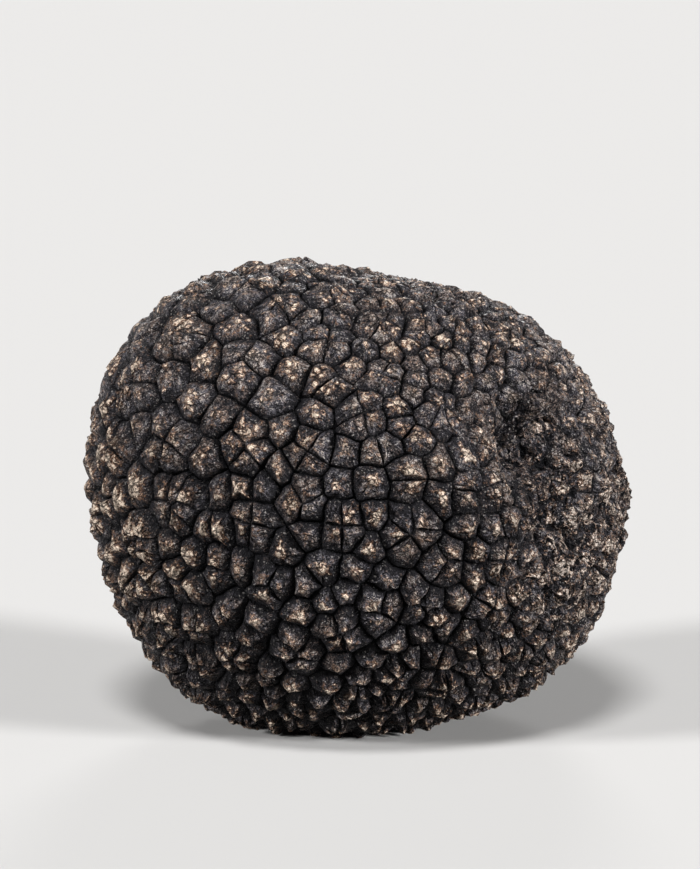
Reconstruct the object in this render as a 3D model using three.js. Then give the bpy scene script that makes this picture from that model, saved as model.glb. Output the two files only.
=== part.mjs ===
// A black truffle: one solid fruiting body, brushed clean and resting as it was set down.
//
// Its skin is a pavement of low pyramid warts. Deep grooves part each wart from the next, and
// the large warts are split into lobes by shallower cracks that meet near the wart's middle.
// The warts are coarsest on the left shoulder and the back, and finest on both flanks and underneath.
// One hollow, between a furrow above it and a dip below, marks the right of the front.
//
// Frame: millimetres, +Z up, +X to the right, -Y towards the front. The origin is on the
// resting plane, below the middle of the overall box.
import * as THREE from "three";
import { ConvexHull } from "three/addons/math/ConvexHull.js";

// Overall size, over the warts.
const WIDTH = 60; // along X
const DEPTH = 55; // along Y
const HEIGHT = 51.6; // along Z, from the flat spot to the highest wart
const FLAT_SPOT_CUT = 1.6; // how much of the rounded underside the flat spot takes away

// Warts, as they would be on a flat skin.
const FINE_WART = 2.25; // width of a plain wart where the skin is fine
const GROOVE_DEPTH = 0.3; // below the mean skin, where two warts meet
const CRACK_LIFT = 0.1; // of the crack junctions inside a split wart, above the mean skin
const WART_SLOPE = 0.2; // rise of a wart's peak above the mean skin, over its half-width
const SHORTEST_EDGE = 0.55; // groove junctions closer than this become one
const FEWEST_CORNERS = 4; // that a wart keeps when its junctions are joined
const SEED = 20;
const NEARLY_UPRIGHT = 0.9; // a direction's z past which directions across it are taken from X

// The mean radius turns a length on the skin into an angle at the centre.
const MEAN_RADIUS = (WIDTH + DEPTH + HEIGHT) / 6;

const towards = (x, y, z) => new THREE.Vector3(x, y, z).normalize();

// Broad swells and dents of the body. rise is a share of the local radius, and spread is the
// half-width in degrees.
const SWELLS = [
  { name: "left shoulder", at: towards(-0.76, -0.15, 0.64), rise: 0.145, spread: 36 },
  { name: "left heel", at: towards(-0.68, -0.1, -0.73), rise: 0.07, spread: 26 },
  { name: "right heel", at: towards(0.7, 0.1, -0.71), rise: 0.06, spread: 24 },
  { name: "right instep", at: towards(0.45, -0.1, -0.88), rise: -0.035, spread: 20 },
  { name: "right cheek", at: towards(0.95, -0.3, 0.02), rise: 0.03, spread: 24 },
  { name: "brow of the hollow", at: towards(0.36, -0.9, 0.2), rise: 0.035, spread: 13 },
  { name: "top saddle", at: towards(0.16, 0, 1), rise: -0.07, spread: 22 },
  { name: "furrow", at: towards(0.45, -0.62, 0.62), rise: -0.035, spread: 13 },
  { name: "hollow", at: towards(0.64, -0.68, 0.34), rise: -0.14, spread: 10 },
  { name: "dip below the hollow", at: towards(0.74, -0.66, 0.08), rise: -0.05, spread: 10 },
  { name: "back left swell", at: towards(-0.5, 0.85, 0.15), rise: 0.05, spread: 34 },
  { name: "back right swell", at: towards(0.6, 0.78, -0.1), rise: 0.04, spread: 30 },
  { name: "root scar", at: towards(0.12, 0.93, -0.3), rise: -0.09, spread: 13 },
];

// Where the skin is coarse, with the width of a plain wart in the middle of each such field and
// its half-width in degrees. COARSE_GAIN over 1 makes the middle of a field coarse throughout.
const COARSE_GAIN = 1.5;
const COARSE_FIELDS = [
  { name: "front", at: towards(-0.3, -0.93, 0.1), wart: 3.0, spread: 50 },
  { name: "left shoulder", at: towards(-0.62, -0.5, 0.6), wart: 3.55, spread: 34 },
  { name: "crown", at: towards(-0.3, -0.1, 0.95), wart: 3.4, spread: 30 },
  { name: "back", at: towards(-0.25, 0.9, 0.35), wart: 3.7, spread: 44 },
];

// How the warts are laid: large split ones first, then plain ones, then small ones in the gaps.
// reach is the room a wart claims, over the local wart width, and tries is how many places are
// tested.
const LAYING = [
  { tries: 110, reach: [1.0, 0.85], lobes: [4, 6] },
  { tries: 420, reach: [0.78, 0.66], lobes: [3, 4] },
  { tries: 1500, reach: [0.6, 0.52], lobes: [1, 2] },
  { tries: 26000, reach: [0.47, 0.33], lobes: [1, 1] },
];
const LOBE_RING = 0.52; // distance of a lobe's middle from its wart's, over the wart's reach
const UNEVENNESS = 0.15; // of that distance, and of the turn from one lobe to the next
const PEAK_LEAN = 0.42; // how far a lobe's peak leans towards its wart's middle
const EVENING = 0.45; // share of the way each lobe moves to the middle of its own cell

// Mulberry32, so that the same truffle grows every time.
let state = SEED;
function random() {
  state = (state + 0x6d2b79f5) | 0;
  let t = Math.imul(state ^ (state >>> 15), 1 | state);
  t = (t + Math.imul(t ^ (t >>> 7), 61 | t)) ^ t;
  return ((t ^ (t >>> 14)) >>> 0) / 2 ** 32;
}
const between = (low, high) => low + (high - low) * random();

function randomDirection() {
  const height = between(-1, 1);
  const turn = between(0, 2 * Math.PI);
  const across = Math.sqrt(1 - height * height);
  return new THREE.Vector3(across * Math.cos(turn), across * Math.sin(turn), height);
}

// 1 in the middle of a spot on the skin, falling smoothly to 0 outside its spread.
function nearness(direction, spot) {
  const degrees = THREE.MathUtils.radToDeg(direction.angleTo(spot.at));
  return Math.exp(-((degrees / spot.spread) ** 2));
}

// Distance from the centre to the mean skin.
function bodyRadius(direction) {
  const { x, y, z } = direction;
  const squash = (x / WIDTH) ** 2 + (y / DEPTH) ** 2 + (z / HEIGHT) ** 2;
  const swell = SWELLS.reduce((sum, s) => sum + s.rise * nearness(direction, s), 0);
  return (0.5 / Math.sqrt(squash)) * (1 + swell);
}

function wartWidth(direction) {
  const widths = COARSE_FIELDS.map((field) => {
    const coarse = Math.min(1, COARSE_GAIN * nearness(direction, field));
    return THREE.MathUtils.lerp(FINE_WART, field.wart, coarse);
  });
  return Math.max(...widths);
}

// Two directions at right angles to a third and to each other, for places round it.
function tangents(direction) {
  const upright = Math.abs(direction.z) > NEARLY_UPRIGHT;
  const pole = upright ? new THREE.Vector3(1, 0, 0) : new THREE.Vector3(0, 0, 1);
  const across = new THREE.Vector3().crossVectors(pole, direction).normalize();
  return [across, new THREE.Vector3().crossVectors(direction, across)];
}

// Warts that keep clear of each other by their reach, as { at, reach, lobes }.
function layWarts() {
  const warts = [];
  for (const round of LAYING) {
    for (let i = 0; i < round.tries; i++) {
      const at = randomDirection();
      const share = THREE.MathUtils.lerp(round.reach[0], round.reach[1], i / round.tries);
      const reach = (share * wartWidth(at)) / MEAN_RADIUS;
      if (warts.some((other) => other.at.distanceTo(at) < other.reach + reach)) continue;
      const lobes = Math.round(between(...round.lobes));
      warts.push({ at, reach, lobes });
    }
  }
  return warts;
}

// Each wart's lobes, evenly round its middle. A plain wart is one lobe in the middle.
function lobesOf(wart) {
  if (wart.lobes === 1) return [{ wart, at: wart.at.clone() }];
  const [across, up] = tangents(wart.at);
  const turn = between(0, 2 * Math.PI);
  return Array.from({ length: wart.lobes }, (_, i) => {
    const angle = turn + ((i + between(-UNEVENNESS, UNEVENNESS)) * 2 * Math.PI) / wart.lobes;
    const ring = LOBE_RING * wart.reach * between(1 - UNEVENNESS, 1 + UNEVENNESS);
    const at = wart.at.clone();
    at.addScaledVector(across, ring * Math.cos(angle));
    at.addScaledVector(up, ring * Math.sin(angle));
    return { wart, at: at.normalize() };
  });
}

// Gives each lobe its cell: the corners of the skin that is nearest to it, anticlockwise as
// seen from outside. On a ball of points, each face of the convex hull faces such a corner.
function pave(lobes) {
  const byPoint = new Map(lobes.map((lobe) => [lobe.at, lobe]));
  for (const lobe of lobes) lobe.corners = [];
  for (const face of new ConvexHull().setFromPoints([...byPoint.keys()]).faces) {
    const corner = { at: face.normal.clone(), lobes: new Set() };
    let edge = face.edge;
    do {
      const lobe = byPoint.get(edge.head().point);
      corner.lobes.add(lobe);
      lobe.corners.push(corner);
      edge = edge.next;
    } while (edge !== face.edge);
  }
  for (const lobe of lobes) {
    const [across, up] = tangents(lobe.at);
    const turn = (corner) => Math.atan2(corner.at.dot(up), corner.at.dot(across));
    lobe.corners.sort((a, b) => turn(a) - turn(b));
  }
}

function evenOut(lobes) {
  for (const lobe of lobes) {
    const middle = new THREE.Vector3();
    for (const corner of lobe.corners) middle.add(corner.at);
    lobe.at.lerp(middle.normalize(), EVENING).normalize();
  }
}

// Joins the two ends of each groove edge that is too short to see, where both warts beside it
// keep at least four corners.
function joinCloseCorners(lobes) {
  const shortest = SHORTEST_EDGE / MEAN_RADIUS;
  for (const lobe of lobes) {
    for (let i = 0; i < lobe.corners.length; i++) {
      const a = lobe.corners[i];
      const b = lobe.corners[(i + 1) % lobe.corners.length];
      if (a.at.distanceTo(b.at) >= shortest) continue;
      const beside = [...a.lobes].filter((other) => b.lobes.has(other));
      if (beside.length !== 2 || beside.some((other) => other.corners.length <= FEWEST_CORNERS)) continue;
      a.at.add(b.at).normalize();
      for (const other of b.lobes) {
        const kept = other.corners.filter((corner) => corner !== b);
        if (!a.lobes.has(other)) kept.splice(other.corners.indexOf(b), 0, a);
        other.corners = kept;
        a.lobes.add(other);
      }
    }
  }
}

// Height of a corner over the mean skin: a crack inside one wart is shallow, a groove is deep.
function cornerLift(corner) {
  const warts = new Set([...corner.lobes].map((lobe) => lobe.wart));
  return warts.size === 1 ? CRACK_LIFT : -GROOVE_DEPTH;
}

// A lobe's peak leans towards the middle of its wart, and a wide lobe rises higher.
function peakOf(lobe) {
  const at = lobe.at.clone().lerp(lobe.wart.at, PEAK_LEAN).normalize();
  const width = lobe.corners.reduce((sum, corner) => sum + corner.at.distanceTo(lobe.at), 0);
  const halfWidth = (width / lobe.corners.length) * MEAN_RADIUS;
  return at.multiplyScalar(bodyRadius(at) + WART_SLOPE * halfWidth + CRACK_LIFT);
}

// One closed skin: a fan of triangles from each lobe's peak down to its corners.
function skinOf(lobes) {
  const points = [];
  const faces = [];
  const numbered = new Map();
  const numberOf = (corner) => {
    if (!numbered.has(corner)) {
      numbered.set(corner, points.length);
      points.push(corner.at.clone().multiplyScalar(bodyRadius(corner.at) + cornerLift(corner)));
    }
    return numbered.get(corner);
  };
  for (const lobe of lobes) {
    const round = lobe.corners.map(numberOf);
    const peak = points.push(peakOf(lobe)) - 1;
    round.forEach((corner, i) => faces.push(peak, corner, round[(i + 1) % round.length]));
  }
  return new THREE.BufferGeometry().setFromPoints(points).setIndex(faces);
}

// Brings the overall size to the driving dimensions and presses the underside flat at z = 0.
function setDown(geometry) {
  geometry.computeBoundingBox();
  const size = geometry.boundingBox.getSize(new THREE.Vector3());
  const middle = geometry.boundingBox.getCenter(new THREE.Vector3());
  geometry.translate(-middle.x, -middle.y, -geometry.boundingBox.min.z);
  geometry.scale(WIDTH / size.x, DEPTH / size.y, (HEIGHT + FLAT_SPOT_CUT) / size.z);
  geometry.translate(0, 0, -FLAT_SPOT_CUT);
  const place = geometry.getAttribute("position");
  for (let i = 0; i < place.count; i++) place.setZ(i, Math.max(0, place.getZ(i)));
  geometry.computeVertexNormals();
  return geometry;
}

const lobes = layWarts().flatMap(lobesOf);
pave(lobes);
evenOut(lobes);
pave(lobes);
joinCloseCorners(lobes);

const body = new THREE.Mesh(
  setDown(skinOf(lobes)),
  new THREE.MeshStandardMaterial({ color: 0x2b2826, roughness: 0.8, metalness: 0 }),
);
body.name = "truffle_body";

const truffle = new THREE.Group();
truffle.add(body);

export default truffle;
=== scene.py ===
"""Looks of the black truffle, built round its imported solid.

The solid gives the size, the swells, the flat spot and the layout of the warts: each of its
triangles runs from the peak of a wart to two corners of the groove round it. Here each of those
triangles becomes a finely divided flank with a narrow groove at its foot, a rounded face and a
worn peak. The result is one closed skin, which replaces the solid in the picture.

Places on the skin are worked out in millimetres and go to Blender in metres.
"""

import math

import bmesh
import bpy
import numpy as np
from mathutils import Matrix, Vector


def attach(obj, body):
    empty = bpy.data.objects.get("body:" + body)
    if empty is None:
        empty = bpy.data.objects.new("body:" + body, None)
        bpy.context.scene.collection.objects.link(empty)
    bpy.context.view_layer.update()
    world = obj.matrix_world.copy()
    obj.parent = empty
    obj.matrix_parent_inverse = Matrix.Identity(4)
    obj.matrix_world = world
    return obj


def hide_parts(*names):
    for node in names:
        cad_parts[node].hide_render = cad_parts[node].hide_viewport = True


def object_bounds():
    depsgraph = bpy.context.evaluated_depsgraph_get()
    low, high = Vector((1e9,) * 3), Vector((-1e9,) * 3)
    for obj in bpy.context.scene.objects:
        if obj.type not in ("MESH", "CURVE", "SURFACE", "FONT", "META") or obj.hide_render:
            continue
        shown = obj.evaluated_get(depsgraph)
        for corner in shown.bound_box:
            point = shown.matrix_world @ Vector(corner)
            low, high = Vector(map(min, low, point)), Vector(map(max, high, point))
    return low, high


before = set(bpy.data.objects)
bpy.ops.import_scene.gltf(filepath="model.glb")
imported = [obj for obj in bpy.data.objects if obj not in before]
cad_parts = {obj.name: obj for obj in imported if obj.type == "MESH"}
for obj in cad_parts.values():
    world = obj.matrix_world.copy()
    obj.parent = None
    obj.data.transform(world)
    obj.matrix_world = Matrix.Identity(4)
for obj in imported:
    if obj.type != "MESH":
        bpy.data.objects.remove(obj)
cad_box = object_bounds()

MM = 0.001
NODE = "truffle_body"

# ---------------------------------------------------------------------------------------------
# Camera: a long lens, a little above the resting plane, looking along +Y.

LENS = 135
LONG_SIDE_SENSOR = 36
CAMERA_DISTANCE = 359.3 * MM
CAMERA_ELEVATION = math.radians(8)
AIM_FROM_MIDDLE = Vector((-0.99, 0, 6.1)) * MM  # the truffle sits low and a little right


def add_camera():
    data = bpy.data.cameras.new("camera")
    data.lens = LENS
    data.sensor_width = LONG_SIDE_SENSOR
    data.clip_start = 10 * MM
    data.clip_end = 100
    camera = bpy.data.objects.new("camera", data)
    low, high = cad_box
    aim = (low + high) / 2 + AIM_FROM_MIDDLE
    back = Vector((0, -math.cos(CAMERA_ELEVATION), math.sin(CAMERA_ELEVATION)))
    camera.location = aim + back * CAMERA_DISTANCE
    camera.rotation_mode = "QUATERNION"
    camera.rotation_quaternion = (-back).to_track_quat("-Z", "Y")
    bpy.context.scene.collection.objects.link(camera)
    bpy.context.scene.camera = camera


# ---------------------------------------------------------------------------------------------
# Vectors and noise. The noise is the same on every run.

LOW_BITS = 0x7FFFFFFF


def unit(vectors):
    return vectors / np.linalg.norm(vectors, axis=-1, keepdims=True)


def smoothstep(low, high, value):
    share = np.clip((value - low) / (high - low), 0, 1)
    return share * share * (3 - 2 * share)


def lerp(ends, share):
    return ends[0] + (ends[1] - ends[0]) * share


def hashed(cells, seed):
    """A number from 0 to 1 for each place with whole coordinates."""
    x, y, z = np.moveaxis(cells.astype(np.int64), -1, 0)
    # Large odd numbers scatter the bits.
    mixed = (x * 73856093) ^ (y * 19349663) ^ (z * 83492791) ^ (seed * 961748927)
    mixed = ((mixed ^ (mixed >> 13)) * 1274126177) & LOW_BITS
    mixed = ((mixed ^ (mixed >> 15)) * 668265263) & LOW_BITS
    return (mixed ^ (mixed >> 12)) / LOW_BITS


def noise(place, size, seed):
    """Smooth noise from -1 to 1 at each place, with features about `size` across."""
    at = place / size
    cell = np.floor(at)
    within = at - cell
    # A fade curve that is level at both ends of a cell.
    within = within * within * within * (within * (within * 6 - 15) + 10)
    total = 0
    for corner in np.ndindex(2, 2, 2):
        weight = np.where(corner, within, 1 - within).prod(axis=-1)
        total = total + weight * hashed(cell + corner, seed)
    return 2 * total - 1


def noise_vector(place, size, seed):
    return np.stack([noise(place, size, seed + axis) for axis in range(3)], axis=-1)


# ---------------------------------------------------------------------------------------------
# The solid's skin: its points, and its triangles as (peak, groove corner, groove corner).

MERGE_WITHIN = 0.02 * MM
NORMAL_SMOOTHING = 5  # passes that turn the faceted normals into those of the mean skin


def find_peaks(skin):
    """The peaks, found from the highest one by stepping across groove edges."""
    highest = max(skin.verts, key=lambda vert: vert.co.z)
    peaks = {highest}
    waiting = [highest]
    while waiting:
        peak = waiting.pop()
        for face in peak.link_faces:
            groove = next(edge for edge in face.edges if peak not in edge.verts)
            beyond = next(other for other in groove.link_faces if other is not face)
            facing = next(vert for vert in beyond.verts if vert not in groove.verts)
            if facing not in peaks:
                peaks.add(facing)
                waiting.append(facing)
    return peaks


def read_solid(node):
    skin = bmesh.new()
    skin.from_mesh(node.data)
    bmesh.ops.remove_doubles(skin, verts=skin.verts, dist=MERGE_WITHIN)
    skin.verts.index_update()
    peaks = find_peaks(skin)
    triangles = []
    for face in skin.faces:
        turn = list(face.verts)
        while turn[0] not in peaks:
            turn.append(turn.pop(0))
        triangles.append([vert.index for vert in turn])
    place = np.array([vert.co for vert in skin.verts]) / MM
    skin.free()
    return place, np.array(triangles)


def gather(index, values, count):
    """Sum of the values that go to each index."""
    if values.ndim == 1:
        return np.bincount(index, values, count)
    return np.stack([np.bincount(index, column, count) for column in values.T], axis=-1)


def mean_normals(place, triangles):
    """Outward normals of the skin with its warts smoothed away."""
    peak, left, right = (place[triangles[:, i]] for i in range(3))
    across = np.cross(left - peak, right - peak)
    for _ in range(NORMAL_SMOOTHING):
        normal = unit(gather(triangles.ravel(), np.repeat(across, 3, axis=0), len(place)))
        across = normal[triangles].mean(axis=1)
    return normal


def corner_drop(place, triangles, normal):
    """How far each groove corner lies below the peaks round it."""
    total = np.zeros(len(place))
    for column in (1, 2):
        corner = triangles[:, column]
        drop = ((place[triangles[:, 0]] - place[corner]) * normal[corner]).sum(axis=1)
        total += np.bincount(corner, drop, len(place))
    return total / np.maximum(np.bincount(triangles[:, 1:].ravel(), minlength=len(place)), 1)


# ---------------------------------------------------------------------------------------------
# The divided skin.

ROWS = 5  # rows of small triangles from a groove up to a peak
FOOT_ROW = 0.16  # width of the lowest row, about as wide as a groove's wall
FOOT_SHARE = (0.05, 0.2)  # its least and greatest share of the way to the peak
ROW_GROWTH = 1.2  # how much the rows widen upwards


def lattice():
    """The points of a divided triangle, as whole shares of (peak, left corner, right corner),
    and the small triangles between them."""
    shares = []
    number = {}
    for up in range(ROWS + 1):
        for along in range(ROWS + 1 - up):
            number[up, along] = len(shares)
            shares.append((up, ROWS - up - along, along))
    small = []
    for up, along in number:
        if (up + 1, along) in number:
            small.append((number[up, along], number[up, along + 1], number[up + 1, along]))
        if (up + 1, along + 1) in number:
            small.append((number[up + 1, along], number[up, along + 1], number[up + 1, along + 1]))
    return np.array(shares), np.array(small)


class DividedSkin:
    """The solid's triangles, each divided into small ones that share their points.

    up is 0 in a groove and 1 on a peak, gap is the distance to the groove, and ridge is 1 on the
    ridges that run down from a peak and 0 midway between them."""

    def __init__(self, place, triangles):
        self.place = place
        self.triangles = triangles
        shares, small = lattice()
        peaks, left, right = triangles.T
        sides = (place[left] - place[peaks], place[right] - place[peaks])
        twice_area = np.linalg.norm(np.cross(*sides), axis=1)
        reach = twice_area / np.linalg.norm(place[right] - place[left], axis=1)
        up = self.row_heights(peaks, reach)[:, shares[:, 0]]
        along = shares[:, 2] / np.maximum(shares[:, 1] + shares[:, 2], 1)
        self.weights = np.stack([up, (1 - up) * (1 - along), (1 - up) * along], axis=-1)

        # A point's key is the corners it lies between, with its whole shares of them.
        corner = np.where(shares > 0, triangles[:, None, :], -1)
        share = np.broadcast_to(shares, corner.shape)
        order = np.argsort(corner, axis=-1)
        key = np.concatenate([np.take_along_axis(x, order, -1) for x in (corner, share)], axis=-1)
        _, point = np.unique(key.reshape(-1, 6), axis=0, return_inverse=True)
        self.point = point.reshape(corner.shape[:2])
        self.copies = np.bincount(self.point.ravel())

        self.faces = self.point[:, small].reshape(-1, 3)
        self.face_peak = np.repeat(peaks, len(small))
        self.up = self.shared(up)
        self.ridge = self.shared(np.broadcast_to(abs(2 * along - 1), up.shape))
        self.gap = self.shared(up * reach[:, None])

    def row_heights(self, peaks, reach):
        """How far up its wart each row of each triangle lies."""
        count = np.bincount(peaks, minlength=len(self.place))
        wart_reach = gather(peaks, reach, len(self.place)) / np.maximum(count, 1)
        foot = np.clip(FOOT_ROW / np.maximum(wart_reach, FOOT_ROW), *FOOT_SHARE)[:, None]
        steps = np.maximum(np.arange(ROWS + 1) - 1, 0) / (ROWS - 1)
        rows = foot + (1 - foot) * steps**ROW_GROWTH
        rows[:, 0] = 0
        return rows[peaks]

    def shared(self, values):
        """The mean of a value over the copies of each point in neighbouring triangles."""
        values = values.reshape(self.point.size, -1)
        total = gather(self.point.ravel(), values, len(self.copies))
        return (total / self.copies[:, None]).squeeze()

    def blended(self, values):
        """Values known at the solid's points, blended over the small triangles."""
        return self.shared(np.einsum("flc,fc...->fl...", self.weights, values[self.triangles]))

    def by_wart(self, values):
        """Values known at the peaks, the same over the whole of each wart."""
        copies = np.repeat(values[self.triangles[:, 0]], self.point.shape[1], axis=0)
        return self.shared(copies)


# ---------------------------------------------------------------------------------------------
# Relief, in millimetres.

HIGH_Z, LOW_Z = 0.75, -0.1  # z of the directions where the body is wholly high, and wholly low
RELIEF = 0.7  # height that a wart's rounding is worked out for
RELIEF_GAIN = (-0.22, 0.34)  # how far its peak is above the solid's: high on the body, low on it
ROUNDING_HIGH = (0.5, 1.7)  # how much sooner than a straight flank a wart rises, high on the body
ROUNDING_LOW = (0.0, 0.7)  # and low on it: least, greatest
TILT = 0.2  # slope of the most tilted wart
CRATER = 0.45  # depth of a sunken peak
CRATER_CHANCE = 0.45  # share of the warts that have one
CRATER_FILL = 0.7  # how much shallower it is low on the body, as a share
CRATER_FROM = 0.5  # how far up a wart its crater starts
FLUTE = (0.05, 0.26)  # how far a wart's faces sink between its ridges: least, greatest
FLUTED = (0.3, 0.7)  # how far up a wart they are sunk in full: from, to
WORN_PIT = 0.2  # depth of the pits in a worn peak
WORN_PIT_SIZE = 0.6
WORN_PIT_NOISE = (0, 0.5)  # noise where a pit starts, and where it is deepest
WORN = (0.45, 0.9)  # how far up a wart they start, and are deepest

GROOVE_CUT = 0.55  # depth of a groove's wall
GROOVE_SLOPE = 0.15  # how much lower than the solid a wart's foot lies, at a groove
GROOVE_WALL = (0.09, 0.33)  # width of a groove's wall: least, greatest
GROOVE_EDGE_SIZE = 0.8  # of the waves along it that its width follows
GROOVE_EDGE_NOISE = (-0.6, 0.6)  # noise where it is narrowest, and widest
SHALLOWEST_GROOVE = 0.35  # depth where a groove is nearly closed, as a share
GROOVE_OPEN_SIZE = 1.9  # of the waves along it that its depth follows
GROOVE_OPEN_NOISE = (-0.45, 0.35)  # noise where it is shallowest, and fully open
SHALLOW_DROP, DEEP_DROP = 0.35, 0.65  # a corner's drop below its peaks: at a crack, at a groove
LEAST_CUT = 0.35  # of a crack's end in the middle of a split wart, as a share of a groove's
LEAST_WALL = 0.5  # the same for its width
JUNCTION_WIDENING = 0.25  # of a groove where three warts meet, as a share
JUNCTION_DIP = 0.15  # how much deeper it is there
JUNCTION_TOP = 0.35  # how far up a wart the dip reaches
PAINTED_GAP = 0.35  # how far from a groove its painted shade reaches

# Waves, each with its size and its height.
WANDERING = ((3.2, 0.26), (1.2, 0.14), (0.6, 0.05))  # these bend the grooves
ROUGHNESS = ((1.5, 0.1), (0.85, 0.12), (0.5, 0.08))  # of the whole skin
CRUMPLE = ((2.6, 0.24), (1.3, 0.16), (0.7, 0.06))  # folds, only where the skin is crinkled
HOLE = (1.5, 0.35)  # holes, only there
HOLE_NOISE = (0.3, 0.6)  # noise where a hole starts, and where it is deepest

# More about where the skin is crinkled.
CRUMPLE_WARP = 0.5  # how far the folds are bent
CRUMPLE_WARP_SIZE = 1.1
CRUMPLE_BEND = 1.3  # how much more the grooves wander
CRUMPLE_FADE = 0.7  # how much shallower they are
CRUMPLE_GAIN_LOSS = 0.8  # share that warts low on the body lose of what they gain in relief
CRUMPLE_SINK = 0.45  # how much lower the peaks are

PRESSED_BELOW = 0.5  # height under which the wandering moves the skin less up or down
SHARP_FROM = math.radians(32)  # edges that turn more than this aren't shaded smooth
CREST_PASSES = 9  # of smoothing, between the skin and the mean skin that its crests stand above

# Seeds, which set each use of the noise apart.
WANDER_SEED = 20
EDGE_SEED = 31
OPEN_SEED = 33
ROUGHNESS_SEED = 40
CRUMPLE_SEED = 50
HOLE_SEED = 55
WORN_SEED = 60
ACROSS_SEED = 70
OWN_SEED = 71
WARP_SEED = 90

# Of the noise that gives each wart a direction across it.
ACROSS_SIZE = 5
NOT_ZERO = 0.01  # added to it, so that the direction always has a length

# Where the skin is crinkled and its warts are low, each with its half-width in degrees.
CRINKLED = (
    (Vector((0.7, -0.66, 0.26)), 19),
    (Vector((0.8, -0.58, -0.15)), 22),
    (Vector((0.95, -0.05, 0)), 36),
    (Vector((-0.6, 0.5, -0.6)), 26),
)
# Where its peaks are rubbed most, and where the skin has painted shade: darker, with fewer scars.
RUBBED = (
    (Vector((0.46, -0.83, 0.31)), 9),
    (Vector((0.55, -0.78, -0.29)), 9),
    (Vector((0.84, -0.5, -0.15)), 24),
    (Vector((-0.86, -0.5, -0.05)), 25),
    (Vector((0.3, 0.8, 0.5)), 14),
    (Vector((-0.8, 0.5, 0.1)), 14),
)
# Painted shade: in the hollow at the front, and a spot low at the back.
SHADED = (
    (Vector((0.66, -0.66, 0.3)), 11),
    (Vector((0.12, 0.93, -0.3)), 10),
)


def nearness(direction, spots):
    """1 in the middle of a spot on the skin, about a third at its half-width, and 0 far away."""
    near = 0
    for middle, half_width in spots:
        cosine = direction @ np.array(middle.normalized())
        degrees = np.degrees(np.arccos(np.clip(cosine, -1, 1)))
        near = np.maximum(near, np.exp(-((degrees / half_width) ** 2)))
    return near


def folds(place, waves, seed):
    """Noise with sharp crests, mostly from -1 to 1 times the height of its waves."""
    total = 0
    bent = place + CRUMPLE_WARP * noise_vector(place, CRUMPLE_WARP_SIZE, seed + WARP_SEED)
    for turn, (size, height) in enumerate(waves):
        total = total + height * (1 - 4 * np.abs(noise(bent, size, seed + turn)))
    return total


def smoothed(place, faces, passes):
    """The points, each moved towards the mean of its neighbours a number of times."""
    ends = np.concatenate([faces[:, [0, 1]], faces[:, [1, 2]], faces[:, [2, 0]]])
    neighbours = np.bincount(ends[:, 0], minlength=len(place))[:, None]
    for _ in range(passes):
        place = (place + gather(ends[:, 0], place[ends[:, 1]], len(place)) / neighbours) / 2
    return place


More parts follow.
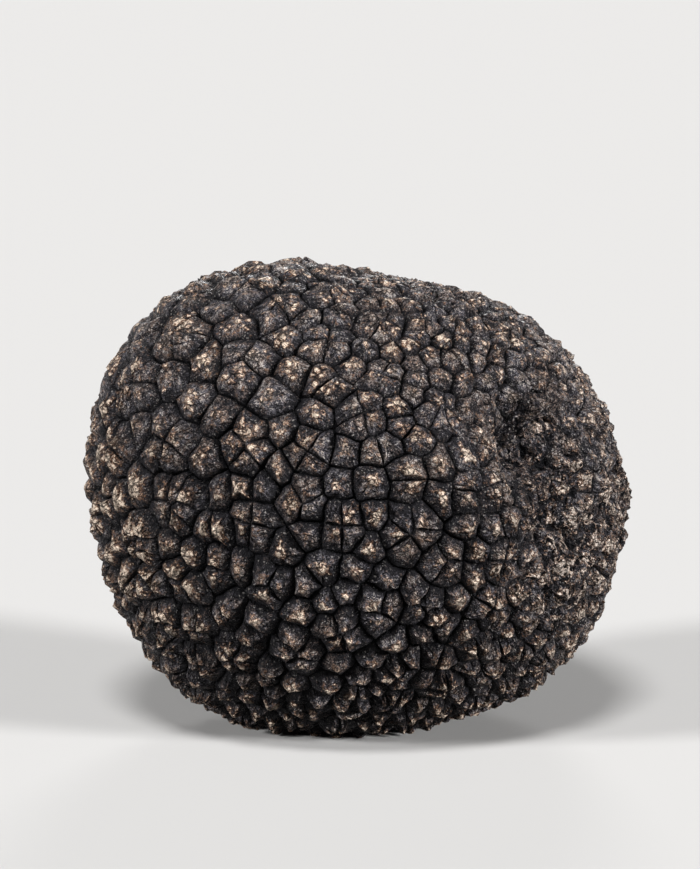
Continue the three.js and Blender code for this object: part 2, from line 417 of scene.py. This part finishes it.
class TruffleSkin(DividedSkin):
    """The divided skin, with what its relief and its colours depend on."""

    def __init__(self, place, triangles):
        super().__init__(place, triangles)
        self.normal = mean_normals(place, triangles)
        self.base = self.blended(place)
        self.outward = unit(self.blended(self.normal))
        middle = (place.max(axis=0) + place.min(axis=0)) / 2
        self.direction = unit(self.base - middle)
        self.crinkle = nearness(self.direction, CRINKLED)
        self.lowness = smoothstep(HIGH_Z, LOW_Z, self.direction[:, 2])

        # Numbers from 0 to 1 of each wart's own.
        chance = [self.by_wart(hashed(np.floor(place), seed)) for seed in range(8)]
        self.rounded, self.worn, self.tint = chance[:3]
        self.tilt = np.stack(chance[3:6], axis=-1) * 2 - 1
        self.cratered, self.fluted = chance[6:]

        # 1 at the grooves round a wart, and 0 on its peak and at the end of its cracks.
        drop = corner_drop(place, triangles, self.normal)
        deep = smoothstep(SHALLOW_DROP, DEEP_DROP, drop)
        deep[triangles[:, 0]] = 0
        self.deep = self.blended(deep)
        opened = smoothstep(*GROOVE_OPEN_NOISE, noise(self.base, GROOVE_OPEN_SIZE, OPEN_SEED))
        cut = lerp((LEAST_CUT, 1), self.deep) * (1 - CRUMPLE_FADE * self.crinkle)
        self.cut = cut * lerp((SHALLOWEST_GROOVE, 1), opened)

    def wart_lift(self):
        """How far the shape of each wart stands above the solid."""
        rounding = lerp(
            (lerp(ROUNDING_HIGH, self.rounded), lerp(ROUNDING_LOW, self.rounded)), self.lowness
        )
        dome = 1 - (1 - self.up) ** (1 + rounding)
        gaining = self.lowness * (1 - CRUMPLE_GAIN_LOSS * self.crinkle)
        lift = RELIEF * (dome - self.up) + lerp(RELIEF_GAIN, gaining) * dome
        lift -= CRUMPLE_SINK * self.crinkle * dome
        from_peak = self.base - self.by_wart(self.place)
        lift += TILT * dome * (self.tilt * from_peak).sum(axis=-1)
        sunken = smoothstep(1 - CRATER_CHANCE, 1 - CRATER_CHANCE / 2, self.cratered)
        crater = CRATER * (1 - CRATER_FILL * self.lowness) * sunken
        lift -= crater * smoothstep(CRATER_FROM, 1, self.up)
        flute = lerp(FLUTE, self.fluted) * (1 - self.ridge)
        lift -= flute * smoothstep(0, FLUTED[0], self.up) * smoothstep(1, FLUTED[1], self.up)
        pitted = smoothstep(*WORN_PIT_NOISE, noise(self.base, WORN_PIT_SIZE, WORN_SEED))
        lift -= WORN_PIT * smoothstep(*WORN, self.up) * self.worn * pitted
        return lift

    def groove_lift(self):
        """How far the grooves sink below the solid, as a lift below 0."""
        edge_noise = noise(self.base, GROOVE_EDGE_SIZE, EDGE_SEED)
        edge = smoothstep(*GROOVE_EDGE_NOISE, edge_noise)
        junction = self.deep * self.ridge**2
        wall = lerp(GROOVE_WALL, edge) * lerp((LEAST_WALL, 1), self.deep)
        wall = wall * (1 + JUNCTION_WIDENING * junction)
        lift = -JUNCTION_DIP * junction * smoothstep(JUNCTION_TOP, 0, self.up)
        lift -= GROOVE_SLOPE * self.deep
        return lift - GROOVE_CUT * self.cut * (1 - smoothstep(0, 1, self.gap / wall))

    def rough_lift(self):
        """The roughness of the whole skin, and the folds and holes where it is crinkled."""
        lift = 0
        for turn, (size, height) in enumerate(ROUGHNESS):
            lift = lift + height * noise(self.base, size, ROUGHNESS_SEED + turn)
        size, depth = HOLE
        hollow = depth * smoothstep(*HOLE_NOISE, noise(self.base, size, HOLE_SEED))
        return lift + self.crinkle * (folds(self.base, CRUMPLE, CRUMPLE_SEED) - hollow)

    def visible_points(self):
        """Where the points are once the grooves wander and the skin has its relief."""
        points = self.base.copy()
        bend = (1 + CRUMPLE_BEND * self.crinkle)[:, None]
        for turn, (size, height) in enumerate(WANDERING):
            seed = WANDER_SEED + 3 * turn  # noise_vector takes this one and the next two
            points += height * bend * noise_vector(self.base, size, seed)
        pressed = smoothstep(PRESSED_BELOW, 0, self.base[:, 2])
        points[:, 2] = points[:, 2] * (1 - pressed) + self.base[:, 2] * pressed
        lift = self.wart_lift() + self.groove_lift() + self.rough_lift()
        points += self.outward * lift[:, None]
        points[:, 2] = np.maximum(points[:, 2], 0)
        return points

    def on_wart(self):
        """Each corner's place on its own wart, and a number of the wart's own."""
        corner = self.faces.ravel()
        peak = np.repeat(self.face_peak, 3)
        normal = self.normal[peak]
        # Which way across the wart doesn't matter, only that its corners share it.
        somewhere = unit(noise_vector(normal, ACROSS_SIZE, ACROSS_SEED) + NOT_ZERO)
        across = unit(np.cross(normal, somewhere))
        offset = self.base[corner] - self.place[peak]
        columns = [(offset * across).sum(-1), (offset * np.cross(normal, across)).sum(-1)]
        columns.append(hashed(np.floor(self.place[peak]), OWN_SEED))
        return np.stack(columns, axis=-1)


def build_mesh(points, faces):
    mesh = bpy.data.meshes.new("truffle_skin")
    mesh.vertices.add(len(points))
    mesh.vertices.foreach_set("co", (points * MM).ravel())
    mesh.loops.add(faces.size)
    mesh.loops.foreach_set("vertex_index", faces.ravel())
    mesh.polygons.add(len(faces))
    mesh.polygons.foreach_set("loop_start", np.arange(0, faces.size, 3))
    mesh.update(calc_edges=True)
    mesh.validate()
    mesh.shade_smooth()
    mesh.set_sharp_from_angle(angle=SHARP_FROM)
    return mesh


def build_truffle():
    skin = TruffleSkin(*read_solid(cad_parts[NODE]))
    points = skin.visible_points()
    above_mean = points - smoothed(points, skin.faces, CREST_PASSES)
    mesh = build_mesh(points, skin.faces)
    attributes = {
        "up": skin.up,
        "crest": (above_mean * skin.outward).sum(axis=1),
        # where the grooves get painted shade, fading out from each groove
        "groove": skin.cut * (1 - smoothstep(0, PAINTED_GAP, skin.gap)),
        "crinkle": skin.crinkle,
        "worn": skin.worn,
        "lowness": skin.lowness,
        "rubbed": nearness(skin.direction, RUBBED),
        "shaded": nearness(skin.direction, SHADED),
        "tint": skin.tint,
    }
    for name, values in attributes.items():
        layer = mesh.attributes.new(name, "FLOAT", "POINT")
        layer.data.foreach_set("value", values.astype(np.float32))
    layer = mesh.attributes.new("on_wart", "FLOAT_VECTOR", "CORNER")
    layer.data.foreach_set("vector", skin.on_wart().astype(np.float32).ravel())
    truffle = bpy.data.objects.new("truffle", mesh)
    bpy.context.scene.collection.objects.link(truffle)
    return truffle


# ---------------------------------------------------------------------------------------------
# Shader nodes.

class Nodes:
    """Short names for the shader nodes of one material or world."""

    def __init__(self, owner):
        owner.use_nodes = True
        self.tree = owner.node_tree
        self.tree.nodes.clear()

    def add(self, kind, inputs=(), **settings):
        node = self.tree.nodes.new(kind)
        for name, value in settings.items():
            setattr(node, name, value)
        for name, value in dict(inputs).items():
            if isinstance(value, bpy.types.NodeSocket):
                self.tree.links.new(value, node.inputs[name])
            else:
                node.inputs[name].default_value = value
        return node

    def attribute(self, name, output="Fac"):
        return self.add("ShaderNodeAttribute", attribute_name=name).outputs[output]

    def math(self, operation, *values):
        inputs = dict(enumerate(values))
        return self.add("ShaderNodeMath", inputs, operation=operation).outputs[0]

    def vector_math(self, operation, *values, output=0):
        inputs = dict(enumerate(values))
        return self.add("ShaderNodeVectorMath", inputs, operation=operation).outputs[output]

    def product(self, first, *rest):
        for value in rest:
            first = self.math("MULTIPLY", first, value)
        return first

    def largest(self, first, *rest):
        for value in rest:
            first = self.math("MAXIMUM", first, value)
        return first

    def texture_noise(self, inputs, size, **settings):
        inputs = inputs | {"Scale": 1 / size}
        return self.add("ShaderNodeTexNoise", inputs, **settings).outputs

    def noise(self, place, size, detail=2, roughness=0.5, distortion=0.0):
        inputs = {"Vector": place, "Detail": detail}
        inputs |= {"Roughness": roughness, "Distortion": distortion}
        return self.texture_noise(inputs, size)["Fac"]

    def ridges(self, place, size, detail=2, roughness=0.6):
        """Noise with sharp crests, mostly between 0.4 and 1.7."""
        inputs = {"Vector": place, "Detail": detail, "Roughness": roughness}
        inputs |= {"Offset": 1, "Gain": 2}
        kind = {"noise_type": "RIDGED_MULTIFRACTAL", "normalize": False}
        return self.texture_noise(inputs, size, **kind)["Fac"]

    def cells(self, place, size, feature):
        inputs = {"Vector": place, "Scale": 1 / size}
        return self.add("ShaderNodeTexVoronoi", inputs, feature=feature).outputs

    def cell_edge(self, place, size):
        """Distance to the edge of a cell, over the size of the cells."""
        return self.cells(place, size, "DISTANCE_TO_EDGE")["Distance"]

    def fade(self, value, low, high, start=0.0, end=1.0):
        """start where value is below low, end where it is above high, and smooth between."""
        inputs = {"Value": value, "From Min": low, "From Max": high}
        inputs |= {"To Min": start, "To Max": end}
        node = self.add("ShaderNodeMapRange", inputs, interpolation_type="SMOOTHSTEP")
        return node.outputs[0]

    def mix(self, share, first, second):
        inputs = {0: share, 6: first, 7: second}
        return self.add("ShaderNodeMix", inputs, data_type="RGBA").outputs[2]

    def separate(self, vector, axis):
        return self.add("ShaderNodeSeparateXYZ", {0: vector}).outputs[axis]


def rgb(red, green, blue):
    """A linear colour, opaque."""
    return (red, green, blue, 1)


# ---------------------------------------------------------------------------------------------
# The truffle's material.

COOL_CHARCOAL = rgb(0.13, 0.122, 0.14)
WARM_CHARCOAL = rgb(0.168, 0.124, 0.107)
SOOT = rgb(0.018, 0.0165, 0.019)
# Pale specks: partly ash-grey dust, partly painted glints.
ASH_AND_GLINT = rgb(0.62, 0.57, 0.54)
WARM_ASH_AND_GLINT = rgb(0.62, 0.515, 0.445)
# Painted shade: near black, put at the foot of each wart and in the grooves, creases, cracks, gaps
# and pits.
PAINTED_SHADE_BLACK = rgb(0.003, 0.0032, 0.0045)
RUST = rgb(0.24, 0.13, 0.078)
TAN = rgb(0.8, 0.52, 0.355)
CREAM = rgb(1.0, 0.82, 0.66)
PINK_CREAM = rgb(1.0, 0.86, 0.76)
# Fine pale specks: partly grit, partly painted glints.
GRIT_AND_GLINT = rgb(0.4, 0.37, 0.35)

# Sizes of the fine features, in millimetres.
SHAKE_SIZE = 0.6  # of the waves that bend the place where some of the others are read
SHAKE = 0.7  # how far they bend it
LUMP_SIZE = 0.9
CRACKED_SIZE = 0.65
FLAKE_SIZE = 0.42
GRIT_SIZE = 0.27
CRUMB_SIZE = 0.75
FLAW_SIZE = 0.4
PATCH_SIZE = 0.5
FINE_SIZE = 0.26
GRAIN_SIZE = 0.14
DUST_SIZE = 1.8
BROKEN_SIZE = 1.3  # of the places where creases show
SOFT_SIZE = 1.7  # of the places where the painted shade in the grooves is lighter
HUE_SIZE, HUE_GRAIN_SIZE = 3.5, 0.8

# Streaks run down a wart from its peak: noise over the direction from the peak.
STREAK_SIZE = 0.13  # over a circle of radius 1
STREAK_TURN = 0.2  # how far the noise is moved on, for each millimetre from the peak
WARTS_APART = 50  # sets the streaks of one wart apart from those of the next

# The mesh's attributes that the material reads as they are.
ATTRIBUTES = ("up", "crest", "groove", "worn", "tint", "lowness", "crinkle", "rubbed", "shaded")

# How much each measure adds to speckle, tone, hue, wear, the height of the bump and the painted
# shade at the foot of a wart.
SPECKLE_WEIGHTS = {"grain": 0.55, "fine": 0.45}
TONE_START = -0.342
TONE_WEIGHTS = {
    "speckle": 1.0,
    "flank streak": 1.0,
    "crest": 0.12,
    "lump": 0.08,
    "up": 0.2,
    "dust": 0.4,
    "crumb": 0.06,
    "crinkle": 0.05,
    # painted shade in the shaded spots
    "shaded": -0.05,
    "rubbed": 0.03,
    # painted shade: darker low on the body
    "lowest": -0.05,
}
HUE_WEIGHTS = {"hue grain": 1.0, "wide hue": 0.6, "tint": 0.2}
WEAR_WEIGHTS = {
    "up": 0.25,
    "low up": 0.17,
    "crest": 0.4,
    "lump": 0.35,
    "low lump": -0.25,
    "streak": 0.2,
    "patch": 1.0,
    "worn": 0.25,
    "crumb": 0.32,
    "flaw": 0.2,
    "crinkle": 0.045,
    "rubbed": 0.17,
    # fewer scars in the painted shade of the shaded spots
    "shaded": -0.15,
    "speckle": 0.3,
}
BUMP_WEIGHTS = {
    "grain": 0.6,
    "fine": 0.7,
    "crumb": 0.7,
    "flaw": 0.3,
    "patch": 1.1,
    "streak": 0.35,
    "lump": 0.6,
    "crease": -0.8,
    "crack": -0.6,
}
BUMP_DISTANCE = 0.4 * MM
RIDGES_MEAN = 1.1  # of Nodes.ridges
# Painted shade at the foot of each wart: how dark it is, and how much darker low on the body.
FOOT_SHADE_START = 0.5
FOOT_SHADE_WEIGHTS = {"lowness": 0.2}
FOOT_SHADE_LOSS = 0.85  # share of that painted shade that is lost where the skin is crinkled
CREASE_SHADE, CRACK_SHADE, PIT_SHADE = 0.8, 0.9, 0.6  # how dark their painted shade is
SPECULAR_LEVEL = 0.1  # low, so that the blacks stay black

# How features fade, as (low, high, share below low, share above high). Each comment names the
# measure that low and high are levels of.
FADES = {
    "streaked": (0.35, 0.8, 0.4, 0.0),  # up
    "lump": (0.1, 0.8, 1.0, 0.0),  # distance from a lump's middle
    "crease": (0.02, 0.16, 1.0, 0.0),  # distance from a lump's edge
    "creased": (0.15, 0.5, 0.0, 1.0),  # up
    "broken": (0.42, 0.55, 0.2, 1.0),  # noise
    "crack": (0.02, 0.12, 1.0, 0.0),  # distance from a crack
    "cracked": (0.4, 0.7, 0.0, 1.0),  # up
    "cracked patch": (0.42, 0.58, 1.0, 0.4),  # patch
    "warm": (0.75, 1.05, 0.0, 1.0),  # hue
    "charcoal": (0.44, 0.485, 0.0, 1.0),  # tone
    "ash": (0.57, 0.63, 0.0, 1.0),  # tone; pale specks, partly dust and partly painted glints
    "warm ash": (0.3, 0.8, 0.0, 1.0),  # up
    "grain": (0.25, 0.42, 1.0, 0.0),  # distance from a grain's middle
    "grit": (0.74, 0.8, 0.0, 1.0),  # the grain's own number
    "pit": (0.3, 0.36, 1.0, 0.0),  # the grain's own number; painted shade in the fine pits
    "rust": (1.25, 1.44, 0.0, 1.0),  # wear
    "rust speckle": (0.4, 0.55, 0.35, 0.95),  # speckle
    "scar": (1.435, 1.455, 0.0, 1.0),  # wear
    "flake": (0.02, 0.07, 0.0, 1.0),  # distance from a flake's edge
    "cream": (1.435, 1.5, 0.0, 1.0),  # wear
    "foot": (0.0, 0.6, 1.0, 0.0),  # up; painted shade at a wart's foot
    "groove": (0.3, 0.8, 0.0, 1.0),  # groove; painted shade in the grooves
    "hidden": (-0.3, -0.08, 0.95, 0.0),  # crest; painted shade where the skin sinks below its mean
    "soft": (0.38, 0.56, 0.5, 1.0),  # noise
    "crumb gap": (-0.55, -0.3, 1.0, 0.0),  # crumb; painted shade in the gaps between crumbs
    "flaw gap": (-0.6, -0.35, 0.9, 0.0),  # flaw; painted shade in the gaps along flaws
    "roughness": (0.46, 0.56, 0.6, 0.2),  # speckle
}


class TruffleNodes(Nodes):
    """The nodes of the truffle's material, with the measures that its colours depend on."""

    def __init__(self, owner):
        super().__init__(owner)
        metres = self.add("ShaderNodeTexCoord").outputs["Object"]
        self.place = self.vector_math("SCALE", metres)
        self.place.node.inputs["Scale"].default_value = 1 / MM
        shake = self.texture_noise({"Vector": self.place, "Detail": 1.0}, SHAKE_SIZE)["Color"]
        self.bent = self.vector_math("MULTIPLY_ADD", shake, (SHAKE, SHAKE, SHAKE), self.place)
        self.measures = {name: self.attribute(name) for name in ATTRIBUTES}
        self.measures |= self.noises()
        self.measures |= self.lumps_and_cracks()
        self.measures |= self.combinations()

    def faded(self, value, name):
        return self.fade(value, *FADES[name])

    def total(self, weights, start=0.0):
        """start, and each of the measures named times its weight."""
        total = start
        for name, weight in weights.items():
            total = self.math("MULTIPLY_ADD", self.measures[name], weight, total)
        return total

    def only_crinkled(self, ridges):
        above_mean = self.math("SUBTRACT", ridges, RIDGES_MEAN)
        return self.product(above_mean, self.measures["crinkle"])

    def streaks(self):
        """Noise that changes round each wart and hardly down it."""
        on_wart = self.attribute("on_wart", "Vector")
        flat = self.vector_math("MULTIPLY", on_wart, (1, 1, 0))
        round_peak = self.vector_math("NORMALIZE", flat)
        distance = self.vector_math("LENGTH", flat, output=1)
        own = self.math("MULTIPLY", self.separate(on_wart, 2), WARTS_APART)
        depth = self.math("MULTIPLY_ADD", distance, STREAK_TURN, own)
        depth = self.add("ShaderNodeCombineXYZ", {2: depth}).outputs[0]
        ray = self.vector_math("ADD", round_peak, depth)
        return self.noise(ray, STREAK_SIZE, roughness=0.6)

    def noises(self):
        return {
            "streak": self.streaks(),
            "patch": self.noise(self.place, PATCH_SIZE, detail=3, roughness=0.6),
            "fine": self.noise(self.place, FINE_SIZE, roughness=0.7, distortion=0.3),
            "grain": self.noise(self.place, GRAIN_SIZE, detail=1, roughness=0.6),
            "dust": self.noise(self.place, DUST_SIZE),
            "wide hue": self.noise(self.place, HUE_SIZE),
            "hue grain": self.noise(self.place, HUE_GRAIN_SIZE),
            "crumb": self.only_crinkled(self.ridges(self.bent, CRUMB_SIZE)),
            "flaw": self.only_crinkled(self.ridges(self.place, FLAW_SIZE, detail=1)),
        }

    def lumps_and_cracks(self):
        """Lumps with broken creases between them, and cracks in the peaks."""
        up, patch = self.measures["up"], self.measures["patch"]
        lump = self.faded(self.cells(self.bent, LUMP_SIZE, "F1")["Distance"], "lump")
        crease = self.faded(self.cell_edge(self.bent, LUMP_SIZE), "crease")
        broken = self.faded(self.noise(self.place, BROKEN_SIZE, detail=1), "broken")
        crease = self.product(crease, self.faded(up, "creased"), broken)
        crack = self.faded(self.cell_edge(self.bent, CRACKED_SIZE), "crack")
        in_patch = self.faded(patch, "cracked patch")
        crack = self.product(crack, self.faded(up, "cracked"), in_patch)
        return {"lump": lump, "crease": crease, "crack": crack}

    def combinations(self):
        up, lowness = self.measures["up"], self.measures["lowness"]
        streak = self.math("SUBTRACT", self.measures["streak"], 0.5)
        return {
            "speckle": self.total(SPECKLE_WEIGHTS),
            "flank streak": self.product(streak, self.faded(up, "streaked")),
            "low up": self.product(up, lowness),
            "low lump": self.product(self.measures["lump"], lowness),
            "lowest": self.math("POWER", lowness, 2),
        }

    def charcoal(self):
        """Charcoal skin: soot where the tone is low, dust and painted glints where it is high."""
        tone = self.total(TONE_WEIGHTS, TONE_START)
        hue = self.total(HUE_WEIGHTS)
        charcoal = self.mix(self.faded(hue, "warm"), COOL_CHARCOAL, WARM_CHARCOAL)
        colour = self.mix(self.faded(tone, "charcoal"), SOOT, charcoal)
        ash = self.mix(self.faded(self.measures["up"], "warm ash"), ASH_AND_GLINT, WARM_ASH_AND_GLINT)
        return self.mix(self.faded(tone, "ash"), colour, ash)

    def grit_and_pits(self):
        """Where the fine pale grit and painted glints are, and the painted shade of fine pits."""
        grains = self.cells(self.bent, GRIT_SIZE, "F1")
        chosen = self.separate(grains["Color"], 0)
        middle = self.faded(grains["Distance"], "grain")
        grit = self.product(middle, self.faded(chosen, "grit"))
        pits = self.product(middle, self.faded(chosen, "pit"))
        return grit, pits

    def rust_and_scars(self):
        """Where worn peaks are rust-brown, where they have pale scars, and the scars' colour."""
        wear = self.total(WEAR_WEIGHTS)
        speckled = self.faded(self.measures["speckle"], "rust speckle")
        rust = self.product(self.faded(wear, "rust"), speckled)
        flake = self.faded(self.cell_edge(self.bent, FLAKE_SIZE), "flake")
        scar = self.product(self.faded(wear, "scar"), flake)
        cream = self.mix(self.measures["crinkle"], CREAM, PINK_CREAM)
        return rust, scar, self.mix(self.faded(wear, "cream"), TAN, cream)

    def foot(self):
        """How dark the painted shade at the foot of each wart is."""
        foot = self.total(FOOT_SHADE_WEIGHTS, FOOT_SHADE_START)
        crinkled = self.math("MULTIPLY_ADD", self.measures["crinkle"], -FOOT_SHADE_LOSS, 1.0)
        return self.product(foot, crinkled, self.faded(self.measures["up"], "foot"))

    def gap_shade(self, pits):
        """How dark the painted shade is in the grooves, creases, cracks, pits and small gaps."""
        groove = self.faded(self.measures["groove"], "groove")
        groove = self.largest(groove, self.faded(self.measures["crest"], "hidden"))
        soft = self.faded(self.noise(self.place, SOFT_SIZE, detail=1), "soft")
        return self.largest(
            self.product(groove, soft),
            self.product(self.measures["crease"], CREASE_SHADE),
            self.faded(self.measures["crumb"], "crumb gap"),
            self.faded(self.measures["flaw"], "flaw gap"),
            self.product(self.measures["crack"], CRACK_SHADE),
            self.product(pits, PIT_SHADE),
        )


def truffle_material():
    material = bpy.data.materials.new("truffle_skin")
    nodes = TruffleNodes(material)
    grit, pits = nodes.grit_and_pits()
    rust, scar, scar_colour = nodes.rust_and_scars()
    pits = nodes.product(pits, nodes.math("SUBTRACT", 1.0, scar))
    # Pale grit, partly painted glints.
    colour = nodes.mix(grit, nodes.charcoal(), GRIT_AND_GLINT)
    colour = nodes.mix(rust, colour, RUST)
    colour = nodes.mix(scar, colour, scar_colour)
    # Painted shade: near black at the foot of each wart, then in the grooves, creases, cracks,
    # gaps and pits.
    colour = nodes.mix(nodes.foot(), colour, PAINTED_SHADE_BLACK)
    colour = nodes.mix(nodes.gap_shade(pits), colour, PAINTED_SHADE_BLACK)
    height = nodes.total(BUMP_WEIGHTS)
    bump = nodes.add("ShaderNodeBump", {"Height": height, "Distance": BUMP_DISTANCE})
    roughness = nodes.faded(nodes.measures["speckle"], "roughness")
    inputs = {"Base Color": colour, "Roughness": roughness, "Normal": bump.outputs[0]}
    shader = nodes.add("ShaderNodeBsdfPrincipled", inputs)
    shader.inputs["Specular IOR Level"].default_value = SPECULAR_LEVEL
    nodes.add("ShaderNodeOutputMaterial", {"Surface": shader.outputs[0]})
    return material


# ---------------------------------------------------------------------------------------------
# Studio: a pale floor and backdrop, and soft lamps.

FLOOR_RADIUS = 40
FLOOR_SIDES = 64
FLOOR_SEEN = rgb(0.66, 0.652, 0.643)
FLOOR_BOUNCING = rgb(0.05, 0.05, 0.05)
BACKDROP = rgb(0.83, 0.82, 0.81)
WORLD_STRENGTH = 0.04

# Name, direction that it comes from, strength and angle in degrees.
SUNS = (
    ("overhead", (-0.1, -0.65, 1), 1.85, 14),
    ("left side", (-1, -0.5, 0.42), 2.75, 12),
    ("right side", (1, -0.55, 0.3), 4.0, 12),
    ("behind", (0.1, 1, 0.4), 0.9, 14),
)


def seen(nodes):
    """1 to the camera and in reflections and glass, and 0 to light on its way to the object."""
    rays = nodes.add("ShaderNodeLightPath").outputs
    return nodes.largest(
        rays["Is Camera Ray"], rays["Is Glossy Ray"], rays["Is Transmission Ray"]
    )


def floor_material():
    """Pale where it is seen, and dark to light that bounces off it."""
    material = bpy.data.materials.new("floor")
    nodes = Nodes(material)
    colour = nodes.mix(seen(nodes), FLOOR_BOUNCING, FLOOR_SEEN)
    shader = nodes.add("ShaderNodeBsdfDiffuse", {"Color": colour})
    nodes.add("ShaderNodeOutputMaterial", {"Surface": shader.outputs[0]})
    return material


def add_floor():
    mesh = bpy.data.meshes.new("floor")
    disc = bmesh.new()
    bmesh.ops.create_circle(disc, cap_ends=True, radius=FLOOR_RADIUS, segments=FLOOR_SIDES)
    disc.to_mesh(mesh)
    disc.free()
    floor = bpy.data.objects.new("floor", mesh)
    floor.data.materials.append(floor_material())
    bpy.context.scene.collection.objects.link(floor)


def add_sun(name, towards, strength, angle):
    data = bpy.data.lights.new(name, "SUN")
    data.energy = strength
    data.angle = math.radians(angle)
    lamp = bpy.data.objects.new(name, data)
    lamp.rotation_mode = "QUATERNION"
    lamp.rotation_quaternion = Vector(towards).to_track_quat("Z", "Y")
    bpy.context.scene.collection.objects.link(lamp)


def add_world():
    world = bpy.data.worlds.new("studio")
    nodes = Nodes(world)
    inputs = {"Color": rgb(1, 1, 1), "Strength": WORLD_STRENGTH}
    lit = nodes.add("ShaderNodeBackground", inputs).outputs[0]
    shown = nodes.add("ShaderNodeBackground", {"Color": BACKDROP}).outputs[0]
    surface = nodes.add("ShaderNodeMixShader", {0: seen(nodes), 1: lit, 2: shown}).outputs[0]
    nodes.add("ShaderNodeOutputWorld", {"Surface": surface})
    bpy.context.scene.world = world


add_camera()
truffle = build_truffle()
truffle.data.materials.append(truffle_material())
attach(truffle, "root")
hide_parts(NODE)

add_floor()
add_world()
for sun in SUNS:
    add_sun(*sun)
bpy.context.scene.view_settings.view_transform = "Standard"
